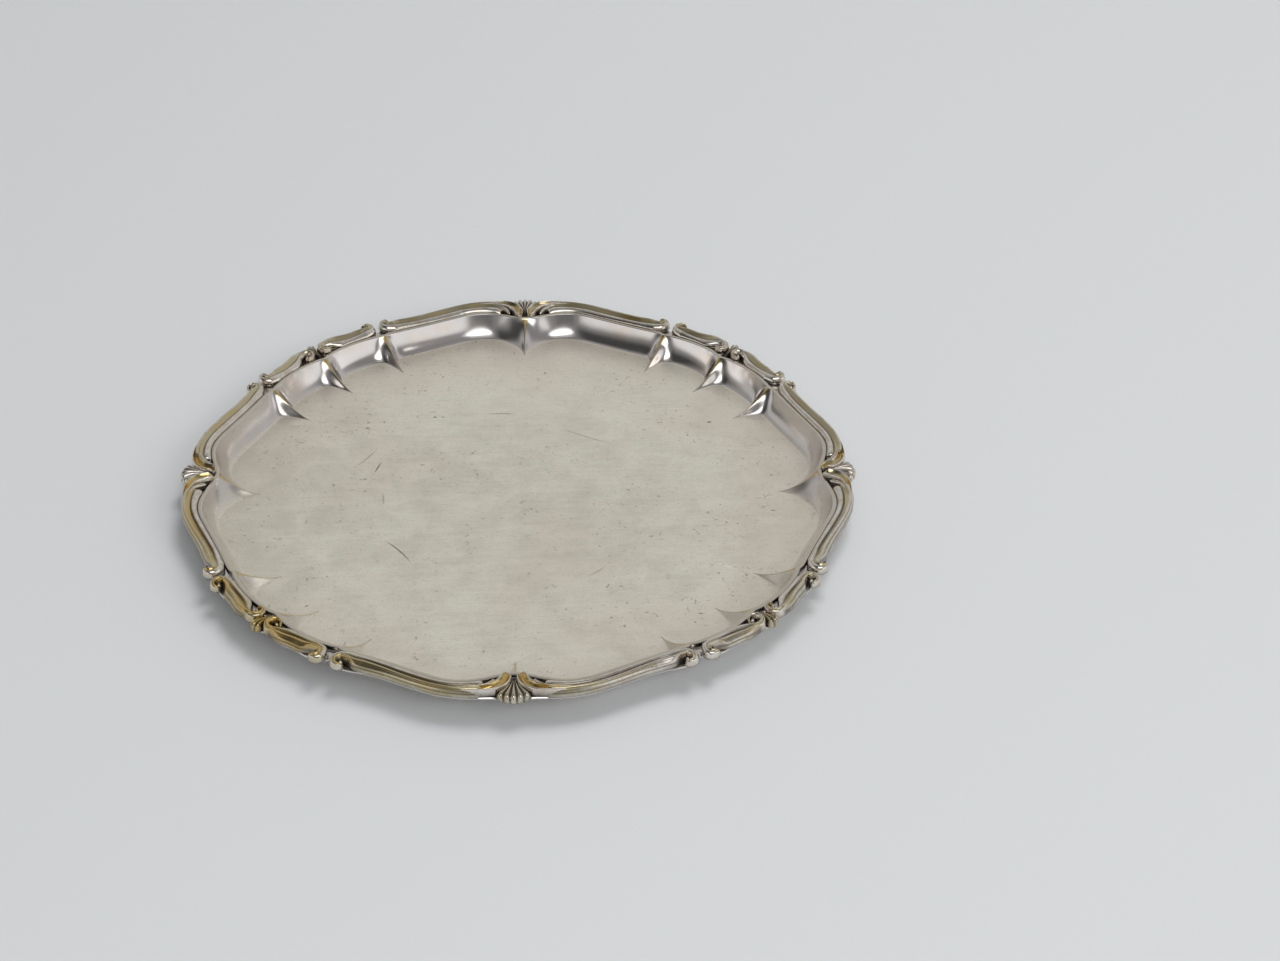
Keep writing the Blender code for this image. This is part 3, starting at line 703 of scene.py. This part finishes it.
def fan_section(sizes, station, length, half_width, rise, ribs):
    """Section across a fan, with a round rib and a groove by turns."""
    along, width, up, groove, under = station
    across = ribs * POINTS_PER_RIB
    section = []
    for step in range(across + 1):
        side = 2 * step / across - 1
        rib = math.sin(math.pi * (step % POINTS_PER_RIB) / POINTS_PER_RIB) ** RIB_POWER
        reach = along - FAN_LIP_CURVE_SHARE * along**3 * side**2 - FAN_SCALLOP_SHARE * along**4 * (1 - rib)
        crown = rise * up * (1 - FAN_CROWN_SHARE * side**2)
        height = max(crown - sizes.rib_depth * max(groove, 0.0) * (1 - rib), rise * under)
        foot = max(0.0, 1 - along / FAN_FOOT_SHARE)
        point = Vector((length * reach, side * half_width * width, height))
        section.append((point, rib * (1 - foot), min(1.0, (1 - rib) * GROOVE_DIRT_SHARE + foot)))
    low = rise * under
    for end, place in ((section[0], 0), (section[-1], len(section) + 1)):
        section.insert(place, (Vector((end[0].x, end[0].y, low)), 0.0, 1.0))
    return section


def fan(sizes, angle, overhang, half_width, rise, ribs):
    """A ribbed fan at an angle, from its foot near the fillet to its lip past the flange."""
    foot = rim_line(sizes, angle) + sizes.fillet_width + sizes.seat_gap + sizes.fan_start
    length = flange_outline(sizes, angle) + overhang - foot
    turn = Matrix.Rotation(angle, 4, "Z")
    start = Vector((foot, 0.0, flange_top(sizes)))
    bm = bmesh.new()
    sections = []
    for station in stations_between(FAN_SHARES, FAN_STEPS):
        section = fan_section(sizes, station, length, half_width, rise, ribs)
        sections.append([(turn @ (point + start), wear, dirt) for point, wear, dirt in section])
    loft(bm, sections)
    return bm


class NodeDesk:
    """Short ways to add and join shader nodes."""

    def __init__(self, material):
        self.nodes = material.node_tree.nodes
        self.links = material.node_tree.links
        self.spot = 0

    def add(self, kind, names=(), values=(), **settings):
        """Adds a node, and feeds values to its sockets of these names."""
        node = self.nodes.new(kind)
        for name, value in settings.items():
            setattr(node, name, value)
        for name, value in zip(names, values):
            self.feed(node, name, value)
        self.spot += 1
        node.location = (-240 * (self.spot % 7) - 300, 260 * (self.spot // 7))
        return node

    def feed(self, node, name, value):
        socket = node.inputs[name]
        if isinstance(value, bpy.types.NodeSocket):
            self.links.new(value, socket)
        else:
            socket.default_value = value

    def object_coordinates(self):
        return self.add("ShaderNodeTexCoord").outputs["Object"]

    def mark(self, name):
        return self.add("ShaderNodeAttribute", attribute_name=name).outputs["Fac"]

    def math(self, operation, *values, clamp=False):
        return self.add("ShaderNodeMath", range(3), values, operation=operation, use_clamp=clamp).outputs[0]

    def times(self, first, second, plus=0.0, clamp=False):
        """The product of two amounts, with a third added to it."""
        return self.math("MULTIPLY_ADD", first, second, plus, clamp=clamp)

    def along(self, coordinates, direction, low, high):
        """How far a place lies in a direction, as a soft step between two distances."""
        node = self.add("ShaderNodeVectorMath", range(2), (coordinates, direction), operation="DOT_PRODUCT")
        return self.ramp(node.outputs["Value"], low, high)

    def from_centre(self, coordinates, low, high):
        """How far a place lies from the tray's centre, as a soft step between two distances."""
        node = self.add("ShaderNodeVectorMath", range(1), (coordinates,), operation="LENGTH")
        return self.ramp(node.outputs["Value"], low, high)

    def ramp(self, value, low, high, to_low=0.0, to_high=1.0):
        """A soft step from one amount to another, between a low and a high value."""
        names = ("Value", "From Min", "From Max", "To Min", "To Max")
        values = (value, low, high, to_low, to_high)
        node = self.add("ShaderNodeMapRange", names, values, interpolation_type="SMOOTHSTEP")
        return node.outputs["Result"]

    def noise(self, coordinates, scale, detail=2.0, roughness=0.5, distortion=0.0):
        names = ("Vector", "Scale", "Detail", "Roughness", "Distortion")
        values = (coordinates, scale, detail, roughness, distortion)
        return self.add("ShaderNodeTexNoise", names, values).outputs["Fac"]

    def stretched(self, coordinates, scale, turn=0.0, place=(0.0, 0.0, 0.0)):
        names = ("Vector", "Location", "Rotation", "Scale")
        values = (coordinates, place, (0.0, 0.0, turn), scale)
        return self.add("ShaderNodeMapping", names, values, vector_type="TEXTURE").outputs["Vector"]

    def mix(self, share, first, second):
        """Mixes two colours, each given as a value or as a socket."""
        node = self.add("ShaderNodeMix", ("Factor",), (share,), data_type="RGBA")
        for name, value in (("A", first), ("B", second)):
            socket = next(s for s in node.inputs if s.name == name and s.type == "RGBA")
            if isinstance(value, bpy.types.NodeSocket):
                self.links.new(value, socket)
            else:
                socket.default_value = rgba(value)
        return next(s for s in node.outputs if s.type == "RGBA")

    def bump(self, *values):
        """Normal for a height, a strength and a distance, over a normal where one is given."""
        names = ("Height", "Strength", "Distance", "Normal")
        return self.add("ShaderNodeBump", names, values).outputs["Normal"]


def rgba(colour):
    return (*colour, 1.0)


def new_material(name, metallic=1.0):
    material = bpy.data.materials.new(name)
    material.use_nodes = True
    shader = material.node_tree.nodes["Principled BSDF"]
    shader.inputs["Metallic"].default_value = metallic
    return material, NodeDesk(material), shader


# Directions from the centre: to the far side, to the left, and to the side that hands have rubbed most
FAR_SIDE = (0.0, 1.0, 0.0)
LEFT_SIDE = (-1.0, 0.0, 0.0)
HANDLED_SIDE = (-0.66, -0.75, 0.0)

# Metal of each kind of mount: the wear that starts to show brass, and the roughness
MOUNT_METALS = {
    "long_scroll_metal": (0.7, 0.17),
    "short_scroll_metal": (0.65, 0.17),
    "shell_metal": (1.1, 0.14),
    "bud_metal": (0.7, 0.17),
}


def worn_plate(name, colours):
    """Cast plate: silver with warm stains, brass where it is rubbed, dirt in the recesses, and painted shade
    on the lower outer flanks.
    """
    material, desk, shader = new_material(name)
    wear_from, roughness = MOUNT_METALS[name]
    place = desk.object_coordinates()
    patches = desk.noise(place, 26.0, 3.0, 0.55)
    blotches = desk.noise(place, 140.0, 4.0, 0.6)
    fine = desk.noise(place, 900.0, 3.0, 0.6)
    stained = desk.mix(desk.ramp(blotches, 0.35, 0.68), colours.silver, colours.warm_silver)
    handled = desk.along(place, HANDLED_SIDE, 0.075, 0.15)
    spread = desk.times(handled, 0.6, desk.times(patches, 1.2, -1.1))
    wear = desk.math("ADD", desk.mark("wear"), desk.times(blotches, 0.8, spread))
    tarnish = desk.ramp(desk.noise(place, 330.0, 4.0, 0.65), 0.5, 0.74, 0.0, 0.4)
    stained = desk.mix(tarnish, stained, colours.stain)
    thin = desk.mix(desk.ramp(wear, wear_from - 0.2, wear_from + 0.3), stained, colours.olive)
    metal = desk.mix(desk.ramp(wear, wear_from + 0.25, wear_from + 0.8), thin, colours.brass)
    # Dirt in the recesses, and painted shade on the lower outer flanks, darken the plate here
    dirt_and_shade_mask = desk.times(desk.mark("dirt"), desk.ramp(fine, 0.2, 0.7, 0.65, 0.9), clamp=True)
    desk.feed(shader, "Base Color", desk.mix(dirt_and_shade_mask, metal, colours.dirt))
    grain = desk.times(fine, 0.1, roughness - 0.05)
    desk.feed(shader, "Roughness", desk.times(dirt_and_shade_mask, 0.35, grain))
    desk.feed(shader, "Normal", desk.bump(fine, 0.15, 0.05 * MM))
    return material


# Length and width of the wiped film's streaks and of the fine dashes in the well, and the turn of both
STREAK = (0.035, 0.0035, 0.035)
DASH = (0.0035, 0.0007, 0.0035)
STREAK_TURN = 0.04

# Marks in the well: middle, length, width, angle, bend, and depth of tone (negative is bright)
WELL_MARKS = (
    ((-0.011, 0.0648), 0.017, 0.0007, 0.0, -0.04, 0.8),
    ((-0.0713, 0.0288), 0.022, 0.0006, 1.03, 0.06, 0.55),
    ((-0.0663, 0.0205), 0.0105, 0.0009, 1.28, 0.0, 0.85),
    ((-0.0522, -0.0424), 0.0235, 0.0009, -0.91, -0.1, 0.8),
    ((0.0902, -0.0549), 0.0125, 0.0006, -0.48, 0.0, -1.0),
    ((-0.0422, 0.0621), 0.0022, 0.0014, 0.0, 0.0, 0.9),
    ((-0.0383, 0.0621), 0.0018, 0.0011, 0.0, 0.0, 0.7),
    ((0.0104, 0.101), 0.0018, 0.0014, 0.3, 0.0, 0.7),
    ((0.0895, 0.0568), 0.003, 0.0018, 0.2, 0.0, 0.7),
    ((0.034, -0.058), 0.012, 0.0009, 0.72, 0.1, 0.35),
    ((0.03, 0.045), 0.03, 0.0016, -0.5, 0.05, 0.25),
    ((-0.062, -0.004), 0.012, 0.001, -1.45, 0.0, 0.35),
)


def well_mark(desk, place, middle, length, width, angle, bend):
    """Mask of a slim bent scratch: 1 along its line, and 0 at its rim."""
    spot = desk.stretched(place, (length / 2, length / 2, 1.0), angle, (*middle, 0.0))
    split = desk.add("ShaderNodeSeparateXYZ")
    desk.feed(split, 0, spot)
    along = desk.times(split.outputs["X"], split.outputs["X"])
    off = desk.math("SUBTRACT", split.outputs["Y"], desk.times(along, bend))
    across = desk.times(desk.times(off, off), (length / width) ** 2)
    return desk.ramp(desk.math("ADD", along, across), 1.0, 0.0)


def sheet_metal(colours):
    """Pressed sheet: dull and scratched in the well, polished on the wall, brass along the crimps."""
    material, desk, shader = new_material("sheet_metal")
    place = desk.object_coordinates()
    polish = desk.mark("polish")
    wide = desk.noise(place, 13.0, 5.0, 0.6, 0.4)
    cloudy = desk.noise(place, 55.0, 6.0, 0.68, 0.3)
    small = desk.noise(place, 260.0, 4.0, 0.65)
    wiped = desk.noise(desk.stretched(place, STREAK, STREAK_TURN), 1.0, 5.0, 0.65)
    near_wall = desk.from_centre(place, 0.088, 0.126)
    # The well's dull plate, warmer near the wall, under a wiped film; less of it towards the rim and the far
    # side is painted light, and more towards the left makes it darker there
    warmth = desk.times(near_wall, 0.16, wide)
    well = desk.mix(desk.ramp(warmth, 0.44, 0.68), colours.green_silver, colours.rosy_silver)
    streaks = desk.ramp(wiped, 0.25, 0.75, -0.25, 0.25)
    film_and_painted_light = desk.math("ADD", desk.ramp(cloudy, 0.25, 0.75, -0.5, 0.5), streaks)
    # Painted light: less dull film towards the rim and the far side; more of it towards the left, so the well
    # is darker there
    film_and_painted_light = desk.times(desk.from_centre(place, 0.02, 0.11), -0.3, film_and_painted_light)
    film_and_painted_light = desk.times(desk.along(place, FAR_SIDE, 0.02, 0.1), -0.35, film_and_painted_light)
    film_and_painted_light = desk.times(desk.along(place, LEFT_SIDE, 0.05, 0.14), 0.8, film_and_painted_light)
    well = desk.mix(desk.ramp(film_and_painted_light, -0.8, 0.8, 0.0, 0.62), well, colours.dull_silver)
    dashes = desk.noise(desk.stretched(place, DASH, STREAK_TURN), 1.0, 3.0, 0.6)
    well = desk.mix(desk.ramp(dashes, 0.52, 0.8, 0.0, 0.6), well, colours.dull_silver)
    # Grime and specks all over it, and the marks that are placed one by one
    grime = desk.ramp(desk.noise(place, 800.0, 3.0, 0.7), 0.5, 0.8, 0.0, 0.3)
    well = desk.mix(grime, well, colours.stain)
    specks = desk.ramp(desk.noise(place, 430.0, 2.0, 0.7), 0.62, 0.72)
    clusters = desk.ramp(desk.noise(place, 30.0, 2.0, 0.5), 0.4, 0.65, 0.12, 0.8)
    well = desk.mix(desk.times(specks, clusters), well, colours.stain)
    for middle, length, width, angle, bend, tone in WELL_MARKS:
        mask = well_mark(desk, place, middle, length, width, angle, bend)
        tint = colours.dirt if tone > 0 else colours.bright_scratch
        well = desk.mix(desk.times(mask, abs(tone)), well, tint)
    # The polished wall, and brass where the crimps are rubbed
    wall = desk.mix(desk.ramp(cloudy, 0.45, 0.75), colours.violet_silver, colours.warm_silver)
    smudged = desk.times(desk.ramp(wide, 0.55, 0.75), desk.ramp(small, 0.3, 0.7, 0.2, 0.45))
    wall = desk.mix(smudged, wall, colours.stain)
    metal = desk.mix(polish, well, wall)
    rubbed = desk.times(small, 0.3, desk.mark("wear"))
    metal = desk.mix(desk.ramp(rubbed, 0.3, 0.75), metal, colours.olive)
    metal = desk.mix(desk.ramp(rubbed, 0.85, 1.2), metal, colours.brass)
    hidden = desk.times(desk.mark("dirt"), 0.85)
    desk.feed(shader, "Base Color", desk.mix(hidden, metal, colours.dirt))
    dull = desk.ramp(cloudy, 0.2, 0.8, 0.3, 0.42)
    bright = desk.ramp(wide, 0.3, 0.8, 0.13, 0.24)
    kept = desk.times(dull, desk.math("SUBTRACT", 1.0, polish))
    desk.feed(shader, "Roughness", desk.times(bright, polish, kept))
    desk.feed(shader, "Metallic", desk.ramp(polish, 0.0, 1.0, 0.72, 1.0))
    dents = desk.bump(wide, 0.3, 0.15 * MM)
    desk.feed(shader, "Normal", desk.bump(small, 0.1, 0.03 * MM, dents))
    return material


FLOOR_ROUGHNESS = 0.75


def floor_paint(colours):
    material, desk, shader = new_material("floor_paint", metallic=0.0)
    desk.feed(shader, "Roughness", FLOOR_ROUGHNESS)
    desk.feed(shader, "Base Color", rgba(colours.floor))
    return material


# Edges of the sheet that turn more sharply than this aren't shaded smooth
SHARP_ANGLE = math.radians(38)


def finished_piece(bm, name, material, slot, *nodes, quarter=0, mirrored=False, smooth_levels=1):
    """Makes the piece's object, with its place in its mesh, and ties it to the frame."""
    if mirrored:
        bmesh.ops.scale(bm, vec=(1, -1, 1), verts=bm.verts)
    turn = Matrix.Rotation(quarter * QUARTER_TURN, 4, "Z")
    bmesh.ops.transform(bm, matrix=turn, verts=bm.verts)
    bmesh.ops.recalc_face_normals(bm, faces=bm.faces)
    mesh = bpy.data.meshes.new(name)
    bm.to_mesh(mesh)
    bm.free()
    mesh.shade_smooth()
    mesh.materials.append(material)
    piece = bpy.data.objects.new(name, mesh)
    bpy.context.scene.collection.objects.link(piece)
    if smooth_levels:
        smooth = piece.modifiers.new("smooth", "SUBSURF")
        smooth.levels = smooth.render_levels = smooth_levels
    else:
        mesh.set_sharp_from_angle(angle=SHARP_ANGLE)
    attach(piece, BODY)
    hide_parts(*nodes)


class TRAY_OT_sheet(bpy.types.Operator):
    """Add the pressed sheet with its crimped wall and fillet"""

    bl_idname = "tray.sheet"
    bl_label = "Pressed Sheet"

    def execute(self, context):
        bm = tray_sheet(context.scene.tray_sizes)
        material = sheet_metal(context.scene.tray_colours)
        finished_piece(bm, "pressed_sheet", material, "sheet_plate", "tray_sheet", smooth_levels=0)
        return {"FINISHED"}


def add_scrolls(context, kind, make):
    """Eight scrolls of a kind: one on each side of every shell, numbered round the tray."""
    material = worn_plate(f"{kind}_scroll_metal", context.scene.tray_colours)
    for number in range(1, 2 * QUARTERS + 1):
        bm = make(context.scene.tray_sizes)
        name, node = f"{kind}_moulding_{number}", f"{kind}_scroll_{number}"
        quarter, side = divmod(number - 1, 2)
        finished_piece(bm, name, material, "scroll_plate", node, quarter=quarter, mirrored=side == 0)


def add_fans(context, kind, names, angle, ribs):
    """Four fans of a kind, one in each quarter of the tray."""
    sizes = context.scene.tray_sizes
    material = worn_plate(f"{kind}_metal", context.scene.tray_colours)
    extent = [getattr(sizes, f"{kind}_{size}") for size in ("overhang", "half_width", "rise")]
    for quarter, name in enumerate(names):
        bm = fan(sizes, angle, *extent, ribs)
        finished_piece(bm, f"fan_{kind}_{name}", material, "shell_plate", f"{kind}_{name}", quarter=quarter)


class TRAY_OT_long_scrolls(bpy.types.Operator):
    """Add the eight long scrolls, from each shell to a break"""

    bl_idname = "tray.long_scrolls"
    bl_label = "Long Scrolls"

    def execute(self, context):
        add_scrolls(context, "long", long_scroll)
        return {"FINISHED"}


class TRAY_OT_short_scrolls(bpy.types.Operator):
    """Add the eight short scrolls, from each break to a bud"""

    bl_idname = "tray.short_scrolls"
    bl_label = "Short Scrolls"

    def execute(self, context):
        add_scrolls(context, "short", short_scroll)
        return {"FINISHED"}


class TRAY_OT_shells(bpy.types.Operator):
    """Add the four ribbed shells"""

    bl_idname = "tray.shells"
    bl_label = "Shells"

    def execute(self, context):
        add_fans(context, "shell", QUARTER_NAMES, 0.0, SHELL_RIBS)
        return {"FINISHED"}


class TRAY_OT_buds(bpy.types.Operator):
    """Add the four buds on the diagonals"""

    bl_idname = "tray.buds"
    bl_label = "Buds"

    def execute(self, context):
        add_fans(context, "bud", range(1, QUARTERS + 1), EIGHTH_TURN, BUD_RIBS)
        return {"FINISHED"}


class StageSettings(bpy.types.PropertyGroup):
    """Camera and floor"""

    eye: bpy.props.FloatVectorProperty(
        name="Eye",
        description="Place of the camera",
        default=(0.02185, -0.71091, 0.52005),
        subtype="TRANSLATION",
    )
    heading: in_degrees("Heading", "Turn of the camera about the vertical", -2.61)
    down: in_degrees("Look down", "Angle of the camera below the horizon", 35.75)
    roll: in_degrees("Roll", "Roll of the camera", 1.2)
    field: in_degrees("Field of view", "Angle across the picture", 36.7)
    floor_size: in_mm("Floor size", "Side of the floor", 16000)


def add_camera(scene, settings):
    data = bpy.data.cameras.new("photo_view")
    data.sensor_width = 36.0
    data.lens = data.sensor_width / (2 * math.tan(settings.field / 2))
    data.clip_start = 0.01
    camera = bpy.data.objects.new("photo_view", data)
    camera.matrix_world = (
        Matrix.Translation(settings.eye)
        @ Matrix.Rotation(settings.heading, 4, "Z")
        @ Matrix.Rotation(math.pi / 2 - settings.down, 4, "X")
        @ Matrix.Rotation(settings.roll, 4, "Z")
    )
    scene.collection.objects.link(camera)
    scene.camera = camera


def add_floor(scene, settings, colours):
    bm = bmesh.new()
    bmesh.ops.create_grid(bm, x_segments=1, y_segments=1, size=settings.floor_size / 2)
    mesh = bpy.data.meshes.new("floor")
    bm.to_mesh(mesh)
    bm.free()
    mesh.materials.append(floor_paint(colours))
    floor = bpy.data.objects.new("floor", mesh)
    scene.collection.objects.link(floor)


# Lamps: azimuth (0 is over the far side, and 90 over the right), elevation, distance, size, power, and
# whether the metal mirrors the lamp
LAMPS = {
    "overhead": (34.0, 64.0, 3.5, (1.7, 1.7), 49.0, False),
    "fill": (122.0, 32.0, 3.0, (1.6, 1.6), 20.0, False),
    "behind_camera": (169.0, 36.0, 1.7, (1.7, 0.75), 6.4, True),
}


def add_lamp(scene, name):
    """Adds a softbox that faces the tray."""
    azimuth, elevation, distance, size, power, mirrored = LAMPS[name]
    data = bpy.data.lights.new(name, "AREA")
    data.shape = "ELLIPSE"
    data.size, data.size_y = size
    data.energy = power
    side, up = math.radians(azimuth), math.radians(elevation)
    away = Vector((math.sin(side) * math.cos(up), math.cos(side) * math.cos(up), math.sin(up)))
    facing = away.to_track_quat("Z", "Y").to_matrix().to_4x4()
    lamp = bpy.data.objects.new(name, data)
    lamp.matrix_world = Matrix.Translation(away * distance) @ facing
    lamp.visible_glossy = mirrored
    scene.collection.objects.link(lamp)


def add_world(scene):
    """A room that is pale at the far side and dim at the camera's, with soft lights and darks in it."""
    world = bpy.data.worlds.new("studio")
    world.use_nodes = True
    scene.world = world
    desk = NodeDesk(world)
    backdrop = world.node_tree.nodes["Background"]
    split = desk.add("ShaderNodeSeparateXYZ")
    desk.feed(split, 0, desk.add("ShaderNodeTexCoord").outputs["Generated"])
    side, depth, height = split.outputs
    aside = desk.math("ABSOLUTE", side)
    room = desk.ramp(depth, -0.4, 0.15, 0.26, 0.56)
    near = desk.ramp(depth, 0.05, -0.15)
    # A paler wedge high over the camera, and less light straight overhead and on the left
    off_centre = desk.math("ABSOLUTE", desk.math("SUBTRACT", side, 0.1))
    beyond = desk.times(depth, 0.6, off_centre)
    high = desk.times(near, desk.ramp(height, 0.45, 0.7))
    room = desk.times(high, desk.ramp(beyond, 0.06, -0.06, 0.0, 0.28), room)
    room = desk.times(room, desk.ramp(height, 0.87, 0.96, 1.0, 0.5))
    left = desk.ramp(side, -0.3, -0.6)
    room = desk.times(desk.times(left, desk.ramp(height, 0.2, 0.4)), -0.2, room)
    # Low down at the camera's side it is bright at both ends, and darkest in the middle
    raised = desk.times(left, 0.14, height)
    low = desk.times(near, desk.ramp(raised, 0.36, 0.28))
    lit = desk.times(low, desk.ramp(aside, 0.45, 0.6, 0.0, 0.75), room)
    dark = desk.times(low, desk.ramp(aside, 0.4, 0.25, 0.0, 0.1))
    desk.feed(backdrop, "Strength", desk.math("SUBTRACT", lit, dark))
    backdrop.inputs["Color"].default_value = (1.0, 1.0, 1.0, 1.0)


class TRAY_OT_stage(bpy.types.Operator):
    """Add the floor, the lamps and the camera"""

    bl_idname = "tray.stage"
    bl_label = "Stage"

    def execute(self, context):
        scene = context.scene
        scene.view_settings.view_transform = "Standard"
        add_camera(scene, scene.tray_stage)
        add_floor(scene, scene.tray_stage, scene.tray_colours)
        add_world(scene)
        for name in LAMPS:
            add_lamp(scene, name)
        return {"FINISHED"}


class TRAY_PT_panel(bpy.types.Panel):
    """Lists the tray's pieces"""

    bl_label = "Tray"
    bl_idname = "TRAY_PT_panel"
    bl_space_type = "VIEW_3D"
    bl_region_type = "UI"
    bl_category = "Tray"

    def draw(self, context):
        for operator in OPERATORS:
            self.layout.operator(operator.bl_idname)
        for group in ("tray_sizes", "tray_colours", "tray_stage"):
            settings = getattr(context.scene, group)
            box = self.layout.box()
            for name in settings.__annotations__:
                box.prop(settings, name)


OPERATORS = (
    TRAY_OT_sheet,
    TRAY_OT_long_scrolls,
    TRAY_OT_short_scrolls,
    TRAY_OT_shells,
    TRAY_OT_buds,
    TRAY_OT_stage,
)
GROUPS = {"tray_sizes": TraySizes, "tray_colours": TrayColours, "tray_stage": StageSettings}


def register():
    for name, group in GROUPS.items():
        bpy.utils.register_class(group)
        setattr(bpy.types.Scene, name, bpy.props.PointerProperty(type=group))
    for operator in OPERATORS:
        bpy.utils.register_class(operator)
    bpy.utils.register_class(TRAY_PT_panel)


def unregister():
    bpy.utils.unregister_class(TRAY_PT_panel)
    for operator in reversed(OPERATORS):
        bpy.utils.unregister_class(operator)
    for name, group in GROUPS.items():
        delattr(bpy.types.Scene, name)
        bpy.utils.unregister_class(group)


def main():
    register()
    bpy.ops.tray.sheet()
    bpy.ops.tray.long_scrolls()
    bpy.ops.tray.short_scrolls()
    bpy.ops.tray.shells()
    bpy.ops.tray.buds()
    bpy.ops.tray.stage()


if __name__ == "__main__":
    main()
